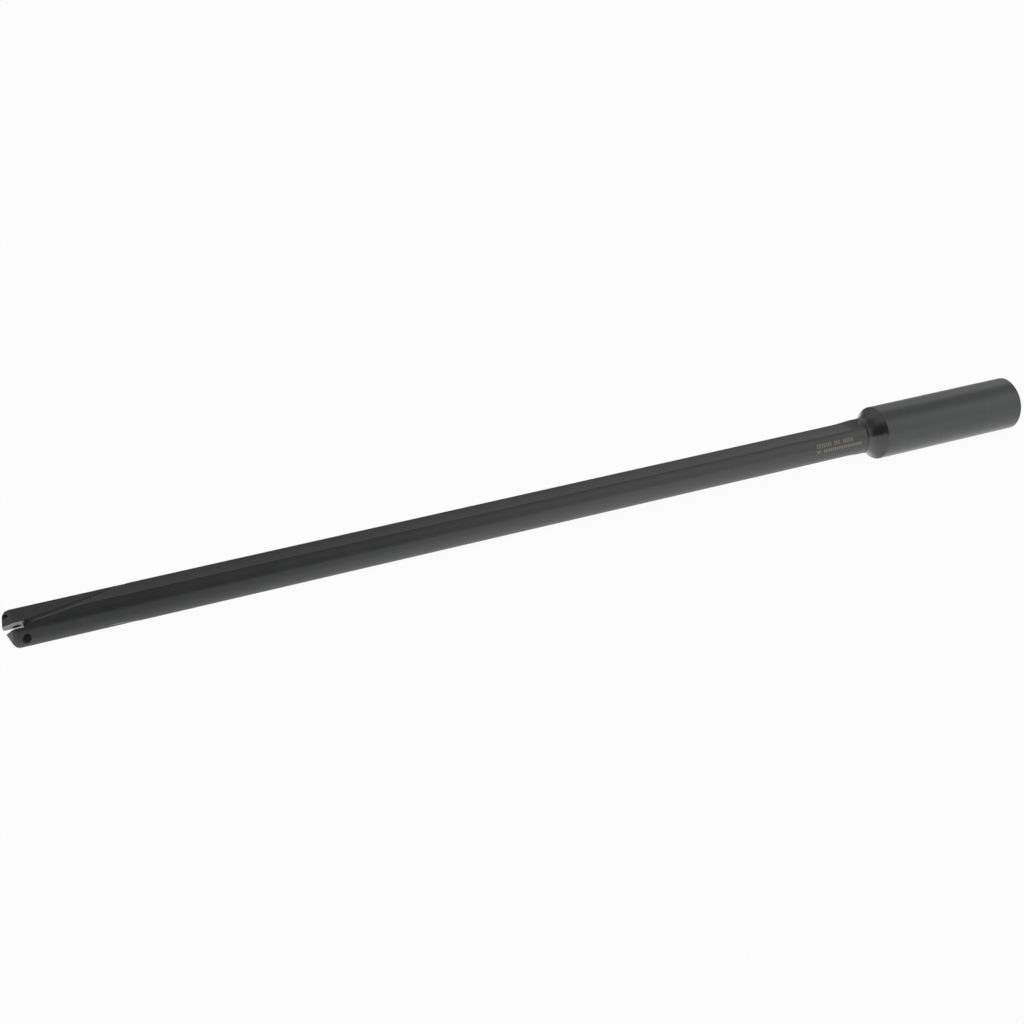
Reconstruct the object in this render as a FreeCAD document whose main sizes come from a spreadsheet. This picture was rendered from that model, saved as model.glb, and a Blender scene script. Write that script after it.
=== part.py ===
"""Holder of an indexable spade drill: a straight-fluted bar with a plain round shank.

The holder is one piece of steel. It lies on a level surface, as it comes to
rest: on the front rim of its shank and on the lower ear at its tip. Its
axis runs along X, the tip towards -X and the shank towards +X, and one flute
faces up. All sizes are in millimetres and degrees. The holder is drawn with
its axis on X and the point of the drill at x = 0, and is then tilted and
lifted into place.
"""
import FreeCAD, Part
import math
import os
import Sketcher

SIZES = [
    # the fluted body
    ("body_diameter", 12.7),        # half-inch body
    ("point_slope", 16.0),          # ear ends, off square
    ("corner_break", 0.9),          # where the ear ends meet the outside
    # the two straight flutes
    ("flute_depth", 1.57),
    ("flute_cutter_radius", 21.0),  # run-out at the shank
    ("flute_end_gap", 0.2),         # from the run-out to the ring groove
    # the blade slot and its two ears
    ("slot_width", 3.175),
    ("slot_depth", 8.0),            # from the point
    ("slot_turn", 36.2),            # slot against the flutes' flats
    ("lip_offset", 1.40),           # ear wall from the drill's axis
    ("lip_turn", 19.6),             # ear wall's normal against the slot
    ("lip_bevel_length", 3.7),      # bevel at the front of the ear wall
    ("lip_bevel_slope", 35.0),
    # the deeper throat of each flute, in front of the blade
    ("throat_reach", 0.46),         # its root at the point, along the ear wall
    ("throat_rise", 8.18),          # slope of its root
    ("throat_opening", 42.2),       # its floor against the ear wall's normal
    ("throat_length", 42.0),
    # threaded holes for the blade's screws, at their tapping size
    ("screw_hole_diameter", 2.7),
    ("screw_hole_from_point", 5.5),
    ("screw_hole_offset", 3.9),     # from the axis, along the slot
    # coolant ways
    ("coolant_bore_diameter", 4.0),
    ("coolant_bore_start", 19.5),   # its blind end, from the point
    ("drill_tip_slope", 31.0),      # of the blind end, off square
    ("outlet_diameter", 1.2),
    ("outlet_spread", 5.3),         # outlet's centre line from the axis, at the point
    ("outlet_turn", 106.4),         # outlet's side against the slot
    ("outlet_length", 22.0),
    # the shank and the shoulder in front of it
    ("shank_diameter", 19.05),      # three-quarter-inch shank
    ("shank_from_point", 322.0),    # its front rim
    ("shank_length", 62.5),
    ("shoulder_radius", 7.4),       # hollow from the body up to the shank
    ("rim_break", 0.3),             # at the shank's front rim
    ("ring_groove_width", 0.8),     # relief where the hollow starts
    ("ring_groove_depth", 0.2),
    ("rim_chamfer", 0.8),           # at the shank's back
    ("port_diameter", 8.6),         # coolant inlet, bored for a pipe thread
    ("port_depth", 14.0),
    ("port_chamfer", 0.9),
]

# how far a cutting outline reaches past the metal
REACH = 2.0

doc = FreeCAD.newDocument("spade_drill_holder")
sheet = doc.addObject("Spreadsheet::Sheet", "Sizes")
for row, (alias, value) in enumerate(SIZES, start=1):
    sheet.set("A%d" % row, alias)
    sheet.set("B%d" % row, str(value))
    sheet.setAlias("B%d" % row, alias)
doc.recompute()

BODY_RADIUS = "Sizes.body_diameter / 2"
SHANK_RADIUS = "Sizes.shank_diameter / 2"
STEP = "(Sizes.shank_diameter / 2 - Sizes.body_diameter / 2)"
SHOULDER_X = "(Sizes.shank_from_point - sqrt(%s * (2 * Sizes.shoulder_radius - %s)))" % (STEP, STEP)
SHANK_END = "(Sizes.shank_from_point + Sizes.shank_length)"
FLUTE_HEIGHT = "(Sizes.body_diameter / 2 - Sizes.flute_depth)"
RUN_OUT = "sqrt(Sizes.flute_depth * (2 * Sizes.flute_cutter_radius - Sizes.flute_depth))"
BORE_RADIUS = "Sizes.coolant_bore_diameter / 2"
PORT_RADIUS = "Sizes.port_diameter / 2"
CLEAR = "(Sizes.body_diameter / 2 + %g)" % REACH
LIP_ANGLE = "(Sizes.slot_turn + Sizes.lip_turn)"


def origin_feature(body, role):
    """The body's own plane or axis of that role."""
    for feature in body.Origin.OriginFeatures:
        if feature.Role == role:
            return feature


def new_body(label):
    body = doc.addObject("PartDesign::Body", label)
    body.Label = label
    return body


def new_sketch(body, name, role, turn=None, shift=None):
    """A sketch on one of the body's planes, turned about the drill's axis.

    On XZ_Plane the sketch runs along the drill, and turn takes its second
    axis from the vertical towards -Y. On YZ_Plane it is a cross-section,
    turn spins it from +Y towards +Z, and shift is its distance from the point.
    """
    sketch = body.newObject("Sketcher::SketchObject", name)
    sketch.AttachmentSupport = [(origin_feature(body, role), "")]
    sketch.MapMode = "FlatFace"
    if turn:
        along_x = FreeCAD.Vector(1, 0, 0) if role == "XZ_Plane" else FreeCAD.Vector(0, 0, 1)
        sketch.AttachmentOffset = FreeCAD.Placement(FreeCAD.Vector(), FreeCAD.Rotation(along_x, 10.0))
        sketch.setExpression("AttachmentOffset.Rotation.Angle", turn)
    if shift:
        sketch.setExpression("AttachmentOffset.Base.z", shift)
    return sketch


def bind(sketch, name, expression, *definition):
    """Add a named dimension and tie it to the sheet."""
    index = sketch.addConstraint(Sketcher.Constraint(*definition))
    sketch.renameConstraint(index, name)
    sketch.setExpression("Constraints." + name, expression)


def place_point(sketch, name, curve, end, across=None, up=None):
    """Tie a point's distances from the sketch's origin to the sheet."""
    point = sketch.getPoint(curve, end)
    if across:
        bind(sketch, name + "_across", across, "DistanceX", -1, 1, curve, end, point.x)
    if up:
        bind(sketch, name + "_up", up, "DistanceY", -1, 1, curve, end, point.y)


def join(sketch, *ends):
    """Make each pair of curve ends meet."""
    for first, first_end, second, second_end in ends:
        sketch.addConstraint(Sketcher.Constraint("Coincident", first, first_end, second, second_end))


def polygon(sketch, corners):
    """A closed outline of straight lines, whose corners are pairs of expressions."""
    count = len(corners)
    ring = [FreeCAD.Vector(20 * math.cos(2 * math.pi * k / count), 20 * math.sin(2 * math.pi * k / count), 0)
            for k in range(count)]
    for k in range(count):
        sketch.addGeometry(Part.LineSegment(ring[k], ring[(k + 1) % count]), False)
    for k in range(count):
        join(sketch, (k, 2, (k + 1) % count, 1))
    for k, (across, up) in enumerate(corners):
        place_point(sketch, "corner_%d" % k, k, 1, across, up)


def circle(sketch, diameter, across, up):
    """One circle with its centre tied to the sheet."""
    sketch.addGeometry(Part.Circle(FreeCAD.Vector(1, 1, 0), FreeCAD.Vector(0, 0, 1), 1), False)
    bind(sketch, "diameter", diameter, "Diameter", 0, 2.0)
    place_point(sketch, "centre", 0, 3, across, up)


def solid_of_revolution(body, name, sketch):
    feature = body.newObject("PartDesign::Revolution", name)
    feature.Profile = sketch
    feature.ReferenceAxis = (origin_feature(body, "X_Axis"), [""])
    feature.Angle = 360.0
    doc.recompute()
    return feature


def cut(body, kind, name, sketch, settings):
    """Cut the sketch from the body, and stop if that takes nothing away."""
    before = body.Tip.Shape.Volume
    feature = body.newObject(kind, name)
    feature.Profile = sketch
    for key, value in settings.items():
        setattr(feature, key, value)
    doc.recompute()
    if body.Tip.Shape.isNull() or body.Tip.Shape.Volume > before - 0.01:
        raise RuntimeError(name + " cuts nothing")
    return feature


def turned_cut(body, name, sketch):
    settings = {"ReferenceAxis": (origin_feature(body, "X_Axis"), [""]), "Angle": 360.0}
    return cut(body, "PartDesign::Groove", name, sketch, settings)


def holder_blank(body):
    """The holder as turned: the body, the hollow of the shoulder, and the shank."""
    body_radius = sheet.get("body_diameter") / 2
    shank_radius = sheet.get("shank_diameter") / 2
    hollow = sheet.get("shoulder_radius")
    rim_x = sheet.get("shank_from_point")
    end_x = rim_x + sheet.get("shank_length")
    step = shank_radius - body_radius
    shoulder_x = rim_x - math.sqrt(step * (2 * hollow - step))
    groove_x = shoulder_x - sheet.get("ring_groove_width")
    sweep = math.acos(1 - (step - sheet.get("rim_break")) / hollow)
    centre = FreeCAD.Vector(shoulder_x, body_radius + hollow, 0)
    arc = Part.ArcOfCircle(Part.Circle(centre, FreeCAD.Vector(0, 0, 1), hollow),
                           -math.pi / 2, -math.pi / 2 + sweep)
    before = [FreeCAD.Vector(*corner) for corner in (
        (0, 0, 0), (body_radius / 4, body_radius - 1, 0), (body_radius / 2, body_radius, 0),
        (groove_x, body_radius, 0), ((groove_x + shoulder_x) / 2, body_radius - 0.1, 0))] + [arc.StartPoint]
    after = [arc.EndPoint] + [FreeCAD.Vector(*corner) for corner in (
        (rim_x + 1, shank_radius, 0), (end_x - 1, shank_radius, 0), (end_x, shank_radius - 1, 0),
        (end_x, 0, 0))] + [before[0]]

    sketch = new_sketch(body, "holder_outline", "XZ_Plane")
    for corners in (before, after):
        for first, second in zip(corners, corners[1:]):
            sketch.addGeometry(Part.LineSegment(first, second), False)
    arc_index = sketch.addGeometry(arc, False)
    for line in (0, 1, 2, 3, 5, 6, 7, 8):
        join(sketch, (line, 2, line + 1, 1))
    join(sketch, (4, 2, arc_index, 1), (arc_index, 2, 5, 1), (9, 2, 0, 1))
    sketch.addConstraint(Sketcher.Constraint("Vertical", arc_index, 3, arc_index, 1))
    bind(sketch, "hollow", "Sizes.shoulder_radius", "Radius", arc_index, hollow)

    cone_top = "(%s - Sizes.corner_break)" % BODY_RADIUS
    cone_x = cone_top + " * tan(Sizes.point_slope)"
    place_point(sketch, "point", 0, 1, "0", "0")
    place_point(sketch, "cone_top", 1, 1, cone_x, cone_top)
    place_point(sketch, "body_front", 2, 1, cone_x + " + Sizes.corner_break", BODY_RADIUS)
    place_point(sketch, "groove_front", 3, 1, SHOULDER_X + " - Sizes.ring_groove_width", BODY_RADIUS)
    place_point(sketch, "groove_root", 4, 1, SHOULDER_X + " - Sizes.ring_groove_width / 2",
                BODY_RADIUS + " - Sizes.ring_groove_depth")
    place_point(sketch, "shoulder", 4, 2, SHOULDER_X, BODY_RADIUS)
    place_point(sketch, "hollow_end", 5, 1, None, SHANK_RADIUS + " - Sizes.rim_break")
    place_point(sketch, "rim", 6, 1, "Sizes.shank_from_point + Sizes.rim_break", SHANK_RADIUS)
    place_point(sketch, "shank_back", 7, 1, SHANK_END + " - Sizes.rim_chamfer", SHANK_RADIUS)
    place_point(sketch, "chamfer_back", 8, 1, SHANK_END, SHANK_RADIUS + " - Sizes.rim_chamfer")
    place_point(sketch, "back", 9, 1, SHANK_END, "0")
    return solid_of_revolution(body, "holder_blank_turned", sketch)


def flute(body):
    """A milled flat along the bar, with the cutter's run-out at the shank."""
    radius = sheet.get("flute_cutter_radius")
    height = sheet.get("body_diameter") / 2 - sheet.get("flute_depth")
    top = sheet.get("body_diameter") / 2 + REACH
    turn_x = sheet.get("shank_from_point") - radius
    centre = FreeCAD.Vector(turn_x, height + radius, 0)
    rise = math.acos((radius - top + height) / radius)
    arc = Part.ArcOfCircle(Part.Circle(centre, FreeCAD.Vector(0, 0, 1), radius),
                           -math.pi / 2, -math.pi / 2 + rise)
    front_low = FreeCAD.Vector(-REACH, height, 0)
    front_high = FreeCAD.Vector(-REACH, top, 0)

    sketch = new_sketch(body, "flute_outline", "XZ_Plane")
    floor = sketch.addGeometry(Part.LineSegment(front_low, arc.StartPoint), False)
    runout = sketch.addGeometry(arc, False)
    roof = sketch.addGeometry(Part.LineSegment(arc.EndPoint, front_high), False)
    front = sketch.addGeometry(Part.LineSegment(front_high, front_low), False)
    join(sketch, (floor, 2, runout, 1), (runout, 2, roof, 1), (roof, 2, front, 1), (front, 2, floor, 1))
    sketch.addConstraint(Sketcher.Constraint("Horizontal", floor))
    sketch.addConstraint(Sketcher.Constraint("Horizontal", roof))
    sketch.addConstraint(Sketcher.Constraint("Vertical", front))
    sketch.addConstraint(Sketcher.Constraint("Vertical", runout, 3, runout, 1))
    bind(sketch, "cutter", "Sizes.flute_cutter_radius", "Radius", runout, radius)
    place_point(sketch, "runout", runout, 1,
                SHOULDER_X + " - Sizes.ring_groove_width - Sizes.flute_end_gap - " + RUN_OUT, FLUTE_HEIGHT)
    place_point(sketch, "front", front, 1, "-%g" % REACH, CLEAR)
    return cut(body, "PartDesign::Pocket", "flute_flat", sketch, {"Type": "ThroughAll", "Midplane": True})


def throat_outline(body, name, shift, root):
    """The V in front of the blade: the ear wall, and a floor that opens from it."""
    sketch = new_sketch(body, name, "YZ_Plane", "180 - " + LIP_ANGLE, shift)
    polygon(sketch, [
        ("Sizes.lip_offset", "-(%s)" % root),
        ("Sizes.lip_offset", "-%s - (%s)" % (CLEAR, root)),
        (CLEAR, "-%s - (%s)" % (CLEAR, root)),
        (CLEAR, "(%s - Sizes.lip_offset) * tan(Sizes.throat_opening) - (%s)" % (CLEAR, root)),
    ])
    return sketch


def throat(body):
    """The flute's deeper end, whose floor ramps up to the flute's flat."""
    root = "Sizes.throat_reach"
    climb = "%s + Sizes.throat_length * tan(Sizes.throat_rise)" % root
    near = throat_outline(body, "throat_at_point", None, root)
    far = throat_outline(body, "throat_at_end", "Sizes.throat_length", climb)
    return cut(body, "PartDesign::SubtractiveLoft", "throat_ramp", near, {"Sections": [far], "Ruled": True})


def ear_bevel(body):
    """The bevel at the front of the ear wall, on that ear alone."""
    sketch = new_sketch(body, "ear_bevel_outline", "XZ_Plane", "90 - " + LIP_ANGLE)
    slope = "tan(Sizes.lip_bevel_slope)"
    polygon(sketch, [
        ("Sizes.lip_bevel_length", "Sizes.lip_offset"),
        ("Sizes.lip_bevel_length", CLEAR),
        ("-%g" % REACH, CLEAR),
        ("-%g" % REACH, "Sizes.lip_offset - (Sizes.lip_bevel_length + %g) * %s" % (REACH, slope)),
    ])
    return cut(body, "PartDesign::Pocket", "ear_bevel", sketch, {"Type": "ThroughAll"})


def screw_hole(body):
    """The tapped hole through one ear, square to the slot."""
    sketch = new_sketch(body, "screw_hole_outline", "XZ_Plane", "90 - Sizes.slot_turn")
    circle(sketch, "Sizes.screw_hole_diameter", "Sizes.screw_hole_from_point", "Sizes.screw_hole_offset")
    return cut(body, "PartDesign::Pocket", "screw_hole", sketch, {"Type": "ThroughAll", "Reversed": True})


def coolant_outlet(body):
    """A slanting hole from the ear's end back to the coolant bore."""
    turn = "180 - Sizes.slot_turn - Sizes.outlet_turn"
    mouth = new_sketch(body, "outlet_mouth", "YZ_Plane", turn)
    circle(mouth, "Sizes.outlet_diameter", "Sizes.outlet_spread", "0")
    root = new_sketch(body, "outlet_root", "YZ_Plane", turn, "Sizes.outlet_length")
    circle(root, "Sizes.outlet_diameter", "0", "0")
    return cut(body, "PartDesign::SubtractiveLoft", "coolant_outlet", mouth,
               {"Sections": [root], "Ruled": True})


def repeat_opposite(body, features):
    """The same cuts again on the other side of the drill."""
    before = body.Tip.Shape.Volume
    pattern = body.newObject("PartDesign::PolarPattern", "both_sides")
    pattern.Originals = features
    pattern.Axis = (origin_feature(body, "X_Axis"), [""])
    pattern.Angle = 360.0
    pattern.Occurrences = 2
    body.Tip = pattern
    doc.recompute()
    if pattern.Shape.Volume > before - 0.01:
        raise RuntimeError("the second side is not cut")


def blade_slot(body):
    """The slot for the blade, across the point."""
    sketch = new_sketch(body, "slot_outline", "XZ_Plane", "-Sizes.slot_turn")
    half = "Sizes.slot_width / 2"
    polygon(sketch, [
        ("-%g" % REACH, "-" + half),
        ("Sizes.slot_depth", "-" + half),
        ("Sizes.slot_depth", half),
        ("-%g" % REACH, half),
    ])
    return cut(body, "PartDesign::Pocket", "blade_slot", sketch, {"Type": "ThroughAll", "Midplane": True})


def coolant_bore(body):
    """The long bore from the back to its drilled tip near the slot."""
    sketch = new_sketch(body, "coolant_bore_outline", "XZ_Plane")
    polygon(sketch, [
        ("Sizes.coolant_bore_start", "0"),
        ("%s + %g" % (SHANK_END, REACH), "0"),
        ("%s + %g" % (SHANK_END, REACH), BORE_RADIUS),
        ("Sizes.coolant_bore_start + %s * tan(Sizes.drill_tip_slope)" % BORE_RADIUS, BORE_RADIUS),
    ])
    return turned_cut(body, "coolant_bore", sketch)


def coolant_port(body):
    """The coolant inlet at the back, with its countersink."""
    sketch = new_sketch(body, "port_outline", "XZ_Plane")
    polygon(sketch, [
        (SHANK_END + " - Sizes.port_depth", "0"),
        (SHANK_END, "0"),
        (SHANK_END, PORT_RADIUS + " + Sizes.port_chamfer"),
        (SHANK_END + " - Sizes.port_chamfer", PORT_RADIUS),
        (SHANK_END + " - Sizes.port_depth + (%s - %s) * tan(Sizes.drill_tip_slope)"
         % (PORT_RADIUS, BORE_RADIUS), PORT_RADIUS),
        (SHANK_END + " - Sizes.port_depth", BORE_RADIUS),
    ])
    return turned_cut(body, "coolant_port", sketch)


def holder():
    body = new_body("holder")
    holder_blank(body)
    coolant_bore(body)
    coolant_port(body)
    paired = [flute(body), throat(body), ear_bevel(body), screw_hole(body), coolant_outlet(body)]
    repeat_opposite(body, paired)
    blade_slot(body)
    return body


def lay_down(body):
    """Tilt the drill onto its shank's front rim and its lower ear, and centre it."""
    rim = "(Sizes.shank_from_point + Sizes.rim_break)"
    ear = ("Sizes.lip_offset * sin(%s) + sqrt((%s)^2 - Sizes.lip_offset^2) * cos(%s)"
           % (LIP_ANGLE, BODY_RADIUS, LIP_ANGLE))
    tilt = "atan((%s - min(%s; %s)) / (%s - Sizes.lip_bevel_length))" % (SHANK_RADIUS, FLUTE_HEIGHT, ear, rim)
    front = "Sizes.slot_width / 2 * tan(Sizes.point_slope)"
    reach = "%s * cos(%s) + (%s - Sizes.rim_chamfer) * sin(%s)" % (SHANK_END, tilt, SHANK_RADIUS, tilt)
    lift = "%s * cos(%s) - %s * sin(%s)" % (SHANK_RADIUS, tilt, rim, tilt)
    body.Placement = FreeCAD.Placement(FreeCAD.Vector(), FreeCAD.Rotation(FreeCAD.Vector(0, -1, 0), 1.0))
    body.setExpression("Placement.Rotation.Angle", tilt)
    body.setExpression("Placement.Base.x", "-(%s + %s) / 2" % (reach, front))
    body.setExpression("Placement.Base.z", lift)


def check_all(pieces):
    """Stop before anything is written if an object or a piece is not sound."""
    for item in doc.Objects:
        if "Invalid" in item.State or "Error" in item.State:
            raise RuntimeError("%s is in state %s" % (item.Name, item.State))
    for piece in pieces:
        solid = piece.Shape
        if solid.isNull() or not solid.isValid() or len(solid.Solids) != 1:
            raise RuntimeError("%s is not one valid solid" % piece.Label)


pieces = [holder()]
for piece in pieces:
    lay_down(piece)
doc.recompute()
check_all(pieces)

os.makedirs("parts", exist_ok=True)
for piece in pieces:
    piece.Shape.exportStep("parts/%s.step" % piece.Label)
    box = piece.Shape.BoundBox
    print("%s: %.1f mm3, x %.3f to %.3f, y %.3f to %.3f, z %.3f to %.3f" % (
        piece.Label, piece.Shape.Volume, box.XMin, box.XMax, box.YMin, box.YMax, box.ZMin, box.ZMax))
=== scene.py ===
"""Scene of the indexable spade drill's holder, on a pale floor in soft studio light."""
import math

import bpy
from mathutils import Matrix, Vector

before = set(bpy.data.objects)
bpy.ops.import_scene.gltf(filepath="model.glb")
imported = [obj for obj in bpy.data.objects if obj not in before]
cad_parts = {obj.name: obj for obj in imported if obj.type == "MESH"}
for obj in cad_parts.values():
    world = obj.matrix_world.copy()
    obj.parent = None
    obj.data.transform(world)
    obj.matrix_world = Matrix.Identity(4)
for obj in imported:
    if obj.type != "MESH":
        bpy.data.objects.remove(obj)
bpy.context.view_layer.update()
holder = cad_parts["holder"]

# where the holder's own axis lies, in metres and radians
POINT_AT = Vector((-0.192522, 0.0, 0.004582))
TILT = math.radians(0.87855)

# sizes along and across that axis, in millimetres and degrees, as the model has them
BODY_RADIUS = 6.35
FLUTE_EDGE = (4.18, 4.78)
FLUTE_RUN_OUT = (308.0, 316.0)
SHOULDER_X = 315.93
RIM_X = 322.0
BACK_X = 384.5
SLOT_DEPTH = 8.0
SLOT_HALF_WIDTH = 1.60
SLOT_NORMAL = (0.0, 0.591, 0.807)
SLOT_WAY = (0.0, -0.807, 0.591)

# the screw holes: how far from the point and from the axis, and their radius
SCREW_HOLE = (5.5, 3.9, 1.35)

# the throat's floor: its two directions across the axis, where it starts and ends and how it climbs
WALL_NORMAL = (0.0, -0.562, 0.827)
WALL_WAY = (0.0, -0.827, -0.562)
THROAT = (1.40, 0.46)
THROAT_END = 42.0
THROAT_OPENING = math.tan(math.radians(42.2))
THROAT_RISE = math.tan(math.radians(8.18))

# where the coolant way starts or widens, and its radius from there on
BORES = ((19.0, 2.0), (370.0, 4.3))

# the etched mark on the body's near side: where its rows start and end, and the turns that they cover
MARK_ROWS = ((292.6, 308.75, 11.0, 25.0), (292.6, 312.55, -6.0, 4.5))
MARK_CELL = 0.95
MARK_GAPS = 0.10

# the steel's colours, and where two are given the material goes from the first to the second
# the body goes from its first colour at the point to its lighter second colour toward the shank: a painted
# reflection
BODY_COLORS_WITH_SHEEN = ((0.081, 0.082, 0.083, 1), (0.117, 0.118, 0.117, 1))
BODY_SHEEN_FULL_X = 240.0
# the flutes' floors go from the first colour at their near edge to the darker second at their far edge:
# painted shade
FLUTE_COLORS_WITH_SHADE = ((0.096, 0.096, 0.096, 1), (0.066, 0.066, 0.064, 1))
# the shoulder goes from a painted highlight at its foot by the ring to painted shade toward the rim
SHOULDER_LIT_AND_SHADED_COLORS = ((0.142, 0.142, 0.140, 1), (0.098, 0.099, 0.097, 1))
SHANK_COLORS = ((0.098, 0.100, 0.100, 1), (0.132, 0.134, 0.134, 1))
# the bright line along the flutes' long edges, a painted highlight
EDGE_HIGHLIGHT_COLOR = (0.19, 0.19, 0.19, 1)
# the ears' flat walls are given a lighter tone than the body: painted light
EAR_WALL_LIGHT_COLOR = (0.125, 0.125, 0.125, 1)
# the bright line where a throat's floor meets the round body, a painted highlight
THROAT_HIGHLIGHT_COLOR = (0.26, 0.26, 0.26, 1)
MARK_COLOR = (0.30, 0.28, 0.215, 1)
# the slot's end face is painted near black: painted shade
SLOT_END_SHADE_COLOR = (0.018, 0.018, 0.018, 1)
HIDDEN_COLOR = (0.110, 0.110, 0.110, 1)

# its roughness in the same way
BODY_ROUGH = (0.28, 0.34)
FLUTE_ROUGH = (0.30, 0.42)
SHANK_ROUGH = (0.26, 0.36)
SLOT_WALL_ROUGH = (0.16, 0.30)
SHOULDER_ROUGH = 0.24
HIDDEN_ROUGH = 0.80
MARK_ROUGH = 0.60

# the height of the bump on the body and on the shank, in millimetres
BUMP_HEIGHTS = (0.002, 0.006)

# where the studio is open and dark, in front of the object and to its left
OPEN_FRONT = (-0.45, -0.86, 0.25)

# how bright the studio's sides are, where 1 is white
SIDE_LEVEL = 1.10
OPEN_FRONT_LEVEL = 0.14
LEFT_FAR_LEVEL = 0.48
FAR_LEVELS = (0.46, 0.25)
FAR_RIGHT_MORE = 0.20
TOP_LEVEL = 0.31
TOP_RIGHT_MORE = 0.19
LAMP_LEVEL = 0.2

# how white the floor is to the camera, and in gloss away from the object, from its left to its right, around
# a painted pool of light that is seen only in gloss
FLOOR_TO_CAMERA = 0.96
FLOOR_AWAY = (0.32, 0.66)


def new_material(name):
    material = bpy.data.materials.new(name)
    material.use_nodes = True
    material.node_tree.nodes.clear()
    return material


class Nodes:
    """Short calls that add nodes to one tree."""

    def __init__(self, tree):
        self.tree = tree

    def add(self, kind, inputs=None, **settings):
        node = self.tree.nodes.new(kind)
        for key, value in settings.items():
            setattr(node, key, value)
        for key, value in (inputs or {}).items():
            self.feed(node.inputs[key], value)
        return node

    def feed(self, socket, value):
        if isinstance(value, bpy.types.NodeSocket):
            self.tree.links.new(value, socket)
        else:
            socket.default_value = value

    def math(self, operation, first, second=0.0, clamp=False):
        node = self.add("ShaderNodeMath", {0: first, 1: second}, operation=operation, use_clamp=clamp)
        return node.outputs[0]

    def times(self, first, second):
        return self.math("MULTIPLY", first, second)

    def plus(self, first, second):
        return self.math("ADD", first, second)

    def minus(self, first, second):
        return self.math("SUBTRACT", first, second)

    def size(self, value):
        return self.math("ABSOLUTE", value)

    def distance(self, first, second):
        """The length of a step that goes this far in one direction and this far across it."""
        return self.math("SQRT", self.plus(self.times(first, first), self.times(second, second)))

    def ramp(self, value, low, high):
        """0 below low and 1 above high, smooth between them."""
        node = self.add("ShaderNodeMapRange", {"Value": value, "From Min": low, "From Max": high},
                        interpolation_type="SMOOTHSTEP")
        return node.outputs["Result"]

    def fall(self, value, low, high):
        """1 below low and 0 above high, smooth between them."""
        return self.minus(1.0, self.ramp(value, low, high))

    def mix(self, factor, first, second):
        node = self.add("ShaderNodeMix", data_type="RGBA")
        self.feed(node.inputs[0], factor)
        self.feed(node.inputs[6], first)
        self.feed(node.inputs[7], second)
        return node.outputs[2]

    def blend(self, factor, first, second):
        node = self.add("ShaderNodeMix", data_type="FLOAT")
        self.feed(node.inputs[0], factor)
        self.feed(node.inputs[2], first)
        self.feed(node.inputs[3], second)
        return node.outputs[0]


def own_axes(n):
    """The holder's own axes in millimetres: the drill's point is at 0, and x runs to the shank."""
    place = n.add("ShaderNodeTexCoord").outputs["Object"]
    return n.add("ShaderNodeMapping", {"Vector": place, "Location": POINT_AT, "Rotation": (0, -TILT, 0),
                                       "Scale": (0.001, 0.001, 0.001)}, vector_type="TEXTURE").outputs[0]


def along(n, own, direction):
    """How far a point lies from the axis in one direction across it."""
    return n.add("ShaderNodeVectorMath", {0: own, 1: direction}, operation="DOT_PRODUCT").outputs["Value"]


def inside(n, value, low, high, edge):
    """1 between low and high, and 0 outside, with an edge that wide."""
    rise = n.ramp(value, low - edge, low + edge)
    fall = n.ramp(value, high - edge, high + edge)
    return n.math("SUBTRACT", rise, fall, clamp=True)


def noise(n, own, stretch, scale, detail=3.0):
    """Noise drawn out or squeezed along the holder's axes."""
    shaped = n.add("ShaderNodeVectorMath", {0: own, 1: stretch}, operation="MULTIPLY").outputs[0]
    return n.add("ShaderNodeTexNoise", {"Vector": shaped, "Scale": scale, "Detail": detail}).outputs[0]


def flute_edge_highlights(n, x, across, height):
    """Where a bright line is painted along the flutes' long edges: a painted highlight."""
    side, floor = FLUTE_EDGE
    apart = n.distance(n.minus(n.size(across), side), n.minus(n.size(height), floor))
    return n.times(n.fall(apart, 0.06, 0.35), n.fall(x, *FLUTE_RUN_OUT))


def ear_wall(n, own, x):
    """The flat walls of the two ears, in front of the throats' floors."""
    out = n.size(along(n, own, WALL_NORMAL))
    return n.times(inside(n, out, THROAT[0] - 0.03, THROAT[0] + 0.03, 0.01),
                   n.math("LESS_THAN", x, THROAT_END))


def throat_edge_highlight(n, own, x, from_axis):
    """A painted highlight along the long edge where a throat's floor meets the round body."""
    out = along(n, own, WALL_NORMAL)
    over = n.times(along(n, own, WALL_WAY), n.math("SIGN", out))
    floor = n.times(n.minus(n.size(out), THROAT[0]), THROAT_OPENING)
    floor = n.minus(n.minus(floor, THROAT[1]), n.times(x, THROAT_RISE))
    apart = n.size(n.minus(over, floor))
    at_rim = n.times(n.ramp(from_axis, BODY_RADIUS - 0.22, BODY_RADIUS - 0.12), n.fall(apart, 0.10, 0.40))
    return n.times(at_rim, inside(n, x, SLOT_DEPTH, THROAT_END + 2.0, 2.0))


def flute_floor(n, x, height):
    """The milled flats of the two flutes."""
    off_floor = n.size(n.minus(n.size(height), FLUTE_EDGE[1]))
    return n.times(n.fall(off_floor, 0.01, 0.04), n.fall(x, SHOULDER_X - 4, SHOULDER_X))


def in_blade_slot(n, own, x):
    """The slot's two walls, and its end."""
    from_slot = n.size(along(n, own, SLOT_NORMAL))
    between = n.fall(from_slot, SLOT_HALF_WIDTH, SLOT_HALF_WIDTH + 0.02)
    walls = n.times(between, n.math("LESS_THAN", x, SLOT_DEPTH - 0.03))
    end = n.times(between, inside(n, x, SLOT_DEPTH - 0.03, SLOT_DEPTH + 0.03, 0.01))
    return walls, end


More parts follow.
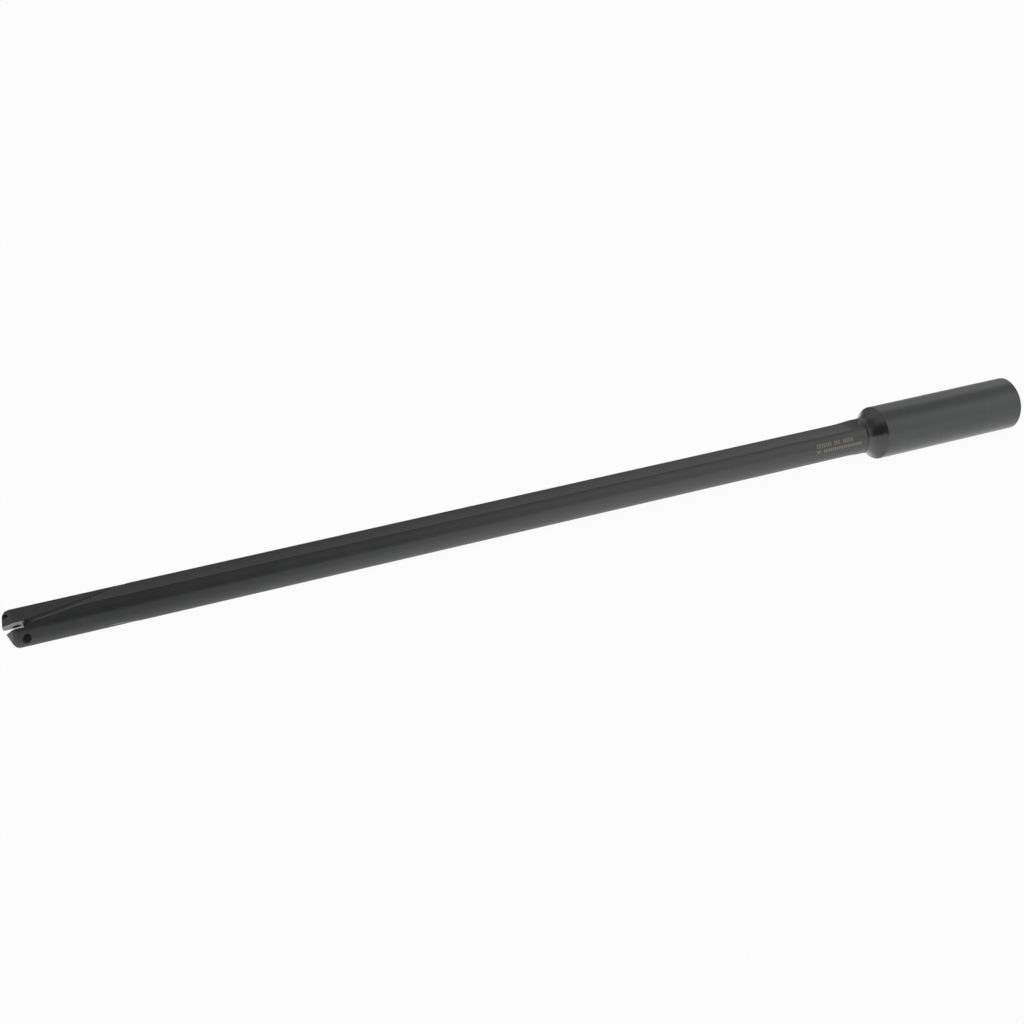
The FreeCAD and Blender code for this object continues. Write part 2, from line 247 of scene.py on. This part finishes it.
def hidden_metal(n, own, x, from_axis):
    """The dark insides: the screw holes and the coolant ways."""
    hole_x, hole_out, hole_radius = SCREW_HOLE
    beside = n.minus(n.size(along(n, own, SLOT_WAY)), hole_out)
    from_hole = n.distance(beside, n.minus(x, hole_x))
    total = n.fall(from_hole, hole_radius + 0.01, hole_radius + 0.05)
    for start, radius in BORES:
        in_bore = n.times(n.math("LESS_THAN", from_axis, radius + 0.05), n.math("GREATER_THAN", x, start))
        total = n.math("MAXIMUM", total, in_bore)
    return n.times(total, n.fall(x, BACK_X - 4, BACK_X))


def etched_mark(n, x, across, height):
    """Rows of plain etched dashes on the body's near side, before the shoulder."""
    turn = n.times(n.math("ARCTAN2", height, n.times(across, -1.0)), 180 / math.pi)
    step = n.math("DIVIDE", x, MARK_CELL)
    dash = inside(n, n.math("FRACT", step), 0.16, 0.84, 0.06)
    total = None
    for row, (start, end, low, high) in enumerate(MARK_ROWS):
        cell = n.plus(n.math("FLOOR", step), 100.0 * row)
        chance = n.add("ShaderNodeTexWhiteNoise", {"W": cell}, noise_dimensions="1D").outputs["Value"]
        kept = n.math("GREATER_THAN", chance, MARK_GAPS)
        here = n.times(inside(n, x, start, end, 0.05), inside(n, turn, low, high, 0.6))
        here = n.times(here, n.times(dash, kept))
        total = here if total is None else n.math("MAXIMUM", total, here)
    return total


def black_oxide():
    """Black-oxide steel: smooth on the body, milled in the flutes, satin and turned on the shank."""
    material = new_material("black_oxide_steel")
    n = Nodes(material.node_tree)
    own = own_axes(n)
    x, across, height = n.add("ShaderNodeSeparateXYZ", {0: own}).outputs
    from_axis = n.distance(across, height)

    # where each surface is
    on_shank = n.ramp(x, RIM_X - 0.1, RIM_X + 0.1)
    on_shoulder = inside(n, x, SHOULDER_X, RIM_X, 0.1)
    in_flute = flute_floor(n, x, height)
    mark = etched_mark(n, x, across, height)
    dark = hidden_metal(n, own, x, from_axis)
    slot_walls, slot_end_shade = in_blade_slot(n, own, x)

    # what the tools have left on it
    cloud = n.ramp(noise(n, own, (1, 1, 1), 0.12, 4.0), 0.3, 0.7)
    turned = noise(n, own, (1, 0.01, 0.01), 5.0)
    ground = noise(n, own, (1, 0.02, 0.02), 2.5)
    milled = noise(n, own, (0.6, 3.0, 3.0), 1.5)

    # the body lightens along its length as a painted reflection, under a cloudy tone that differs at random
    body_sheen_and_tone = n.plus(n.times(n.ramp(x, 0.0, BODY_SHEEN_FULL_X), 0.85), n.times(cloud, 0.15))
    flute_far_shade = n.ramp(across, -3.0, 4.5)
    shoulder_highlight_to_shade = n.ramp(x, SHOULDER_X - 1.0, SHOULDER_X + 4.0)
    color = n.mix(body_sheen_and_tone, *BODY_COLORS_WITH_SHEEN)
    # the flute floors darken toward their far edge as painted shade
    color = n.mix(in_flute, color, n.mix(flute_far_shade, *FLUTE_COLORS_WITH_SHADE))
    # a painted highlight along the flutes' long edges
    color = n.mix(n.times(flute_edge_highlights(n, x, across, height), 0.6), color, EDGE_HIGHLIGHT_COLOR)
    # the ears' flat walls are painted lighter than the body, as painted light
    color = n.mix(ear_wall(n, own, x), color, EAR_WALL_LIGHT_COLOR)
    # a painted highlight along the throats' long edges
    color = n.mix(n.times(throat_edge_highlight(n, own, x, from_axis), 0.8), color, THROAT_HIGHLIGHT_COLOR)
    # the shoulder has a painted highlight by the ring and painted shade toward the rim
    color = n.mix(on_shoulder, color, n.mix(shoulder_highlight_to_shade, *SHOULDER_LIT_AND_SHADED_COLORS))
    color = n.mix(on_shank, color, n.mix(turned, *SHANK_COLORS))
    color = n.mix(mark, color, MARK_COLOR)
    # the slot's end face is painted near black and made not metal, a painted shade
    color = n.mix(slot_end_shade, color, SLOT_END_SHADE_COLOR)
    color = n.mix(dark, color, HIDDEN_COLOR)

    rough = n.blend(on_shank, n.blend(cloud, *BODY_ROUGH), n.blend(turned, *SHANK_ROUGH))
    rough = n.blend(in_flute, rough, n.blend(milled, *FLUTE_ROUGH))
    rough = n.blend(on_shoulder, rough, SHOULDER_ROUGH)
    rough = n.blend(slot_walls, rough, n.blend(n.ramp(x, 1.0, 5.0), *SLOT_WALL_ROUGH))
    rough = n.blend(n.math("MAXIMUM", slot_end_shade, dark), rough, HIDDEN_ROUGH)
    rough = n.blend(mark, rough, MARK_ROUGH)

    relief = n.blend(on_shank, n.blend(in_flute, ground, milled), turned)
    raised = n.times(relief, n.blend(on_shank, *BUMP_HEIGHTS))
    bump = n.add("ShaderNodeBump", {"Height": raised, "Strength": 1.0, "Distance": 0.001})
    surface = n.add("ShaderNodeBsdfPrincipled", {"Base Color": color, "Roughness": rough,
                                                 "Metallic": n.minus(1.0, slot_end_shade),
                                                 "Normal": bump.outputs[0]})
    n.add("ShaderNodeOutputMaterial", {"Surface": surface.outputs[0]})
    return material


def white_share(n):
    """How white the floor looks: nearly all to the camera, and in gloss a painted pool of light, white near
    the object and behind it.
    """
    path = n.add("ShaderNodeLightPath")
    place = n.add("ShaderNodeTexCoord").outputs["Object"]
    right, far, _ = n.add("ShaderNodeSeparateXYZ", {0: place}).outputs
    away = n.blend(n.ramp(right, -0.20, 0.06), *FLOOR_AWAY)
    away = n.blend(n.ramp(far, 0.01, 0.10), away, 1.0)
    near_edge = n.blend(n.ramp(right, -0.20, 0.0), 0.012, 0.025)
    by_eye = n.times(path.outputs["Is Camera Ray"], FLOOR_TO_CAMERA)
    by_gloss = n.plus(path.outputs["Is Glossy Ray"], path.outputs["Is Transmission Ray"])
    by_gloss = n.times(by_gloss, n.blend(n.ramp(n.size(far), 0.003, near_edge), 1.0, away))
    return n.math("ADD", by_eye, by_gloss, clamp=True)


def pale_floor():
    material = new_material("floor")
    n = Nodes(material.node_tree)
    lit = n.add("ShaderNodeBsdfDiffuse", {"Color": (0.9, 0.9, 0.9, 1)}).outputs[0]
    white = n.add("ShaderNodeEmission", {"Color": (1, 1, 1, 1), "Strength": 1.0}).outputs[0]
    mixed = n.add("ShaderNodeMixShader", {0: white_share(n), 1: lit, 2: white})
    n.add("ShaderNodeOutputMaterial", {"Surface": mixed.outputs[0]})

    mesh = bpy.data.meshes.new("floor")
    reach = 8.0
    mesh.from_pydata([(-reach, -reach, 0), (reach, -reach, 0), (reach, reach, 0), (-reach, reach, 0)], [],
                     [(0, 1, 2, 3)])
    floor = bpy.data.objects.new("floor", mesh)
    floor.data.materials.append(material)
    bpy.context.scene.collection.objects.link(floor)


def studio_world():
    """A studio that is bright at its sides, darker before, behind and above, and white to the camera."""
    world = bpy.data.worlds.new("studio")
    world.use_nodes = True
    world.node_tree.nodes.clear()
    n = Nodes(world.node_tree)
    direction = n.add("ShaderNodeTexCoord").outputs["Generated"]
    right, far, height = n.add("ShaderNodeSeparateXYZ", {0: direction}).outputs

    to_front = along(n, direction, OPEN_FRONT)
    front_level = n.blend(n.ramp(to_front, 0.15, 0.86), SIDE_LEVEL, OPEN_FRONT_LEVEL)
    front_level = n.times(front_level, n.blend(n.ramp(height, 0.0, 0.12), 0.80, 1.0))
    left_far = n.times(n.ramp(n.times(right, -1.0), 0.20, 0.50), n.ramp(far, -0.05, 0.25))
    front_level = n.blend(left_far, front_level, LEFT_FAR_LEVEL)

    far_level = n.plus(n.blend(n.ramp(right, -0.05, 0.20), *FAR_LEVELS),
                       n.times(n.ramp(right, 0.30, 0.65), FAR_RIGHT_MORE))

    top_level = n.plus(TOP_LEVEL, n.times(n.ramp(right, 0.35, 0.65), TOP_RIGHT_MORE))
    top_level = n.times(top_level, n.blend(n.ramp(far, 0.10, 0.45), 0.88, 1.5))

    level = n.blend(n.ramp(far, 0.35, 0.75), front_level, far_level)
    level = n.blend(n.ramp(height, 0.50, 0.82), level, top_level)
    seen = n.add("ShaderNodeLightPath").outputs["Is Camera Ray"]
    background = n.add("ShaderNodeBackground", {"Color": (1, 1, 1, 1), "Strength": n.blend(seen, level, 1.0)})
    n.add("ShaderNodeOutputWorld", {"Surface": background.outputs[0]})
    bpy.context.scene.world = world


def softbox(name, place, target, size, level):
    """A square lamp whose face is as bright as level, where 1 is white."""
    lamp = bpy.data.lights.new(name, "AREA")
    lamp.shape = "SQUARE"
    lamp.size = size
    lamp.energy = math.pi * size * size * level
    lamp_object = bpy.data.objects.new(name, lamp)
    aim = Vector(target) - Vector(place)
    lamp_object.matrix_world = Matrix.Translation(place) @ aim.to_track_quat("-Z", "Y").to_matrix().to_4x4()
    bpy.context.scene.collection.objects.link(lamp_object)


def photo_camera():
    """The photograph's viewpoint, from its place and its right, up and back directions."""
    camera = bpy.data.cameras.new("camera")
    camera.lens = 75.586
    camera.sensor_width = 36.0
    camera.sensor_fit = "HORIZONTAL"
    camera.clip_start = 0.01
    camera_object = bpy.data.objects.new("camera", camera)
    right = Vector((0.873625, -0.485700, -0.029572))
    up = Vector((0.184157, 0.273766, 0.944001))
    back = Vector((-0.450406, -0.830149, 0.328614))
    turn = Matrix((right, up, back)).transposed().to_4x4()
    camera_object.matrix_world = Matrix.Translation((-0.340572, -0.590898, 0.242279)) @ turn
    bpy.context.scene.collection.objects.link(camera_object)
    bpy.context.scene.camera = camera_object


holder.material_slots[0].material = black_oxide()
pale_floor()
studio_world()
softbox("overhead_light", (-1.0, 0.3, 1.15), (0.0, 0.0, 0.0), 2.2, LAMP_LEVEL)
photo_camera()
bpy.context.scene.view_settings.view_transform = "Standard"
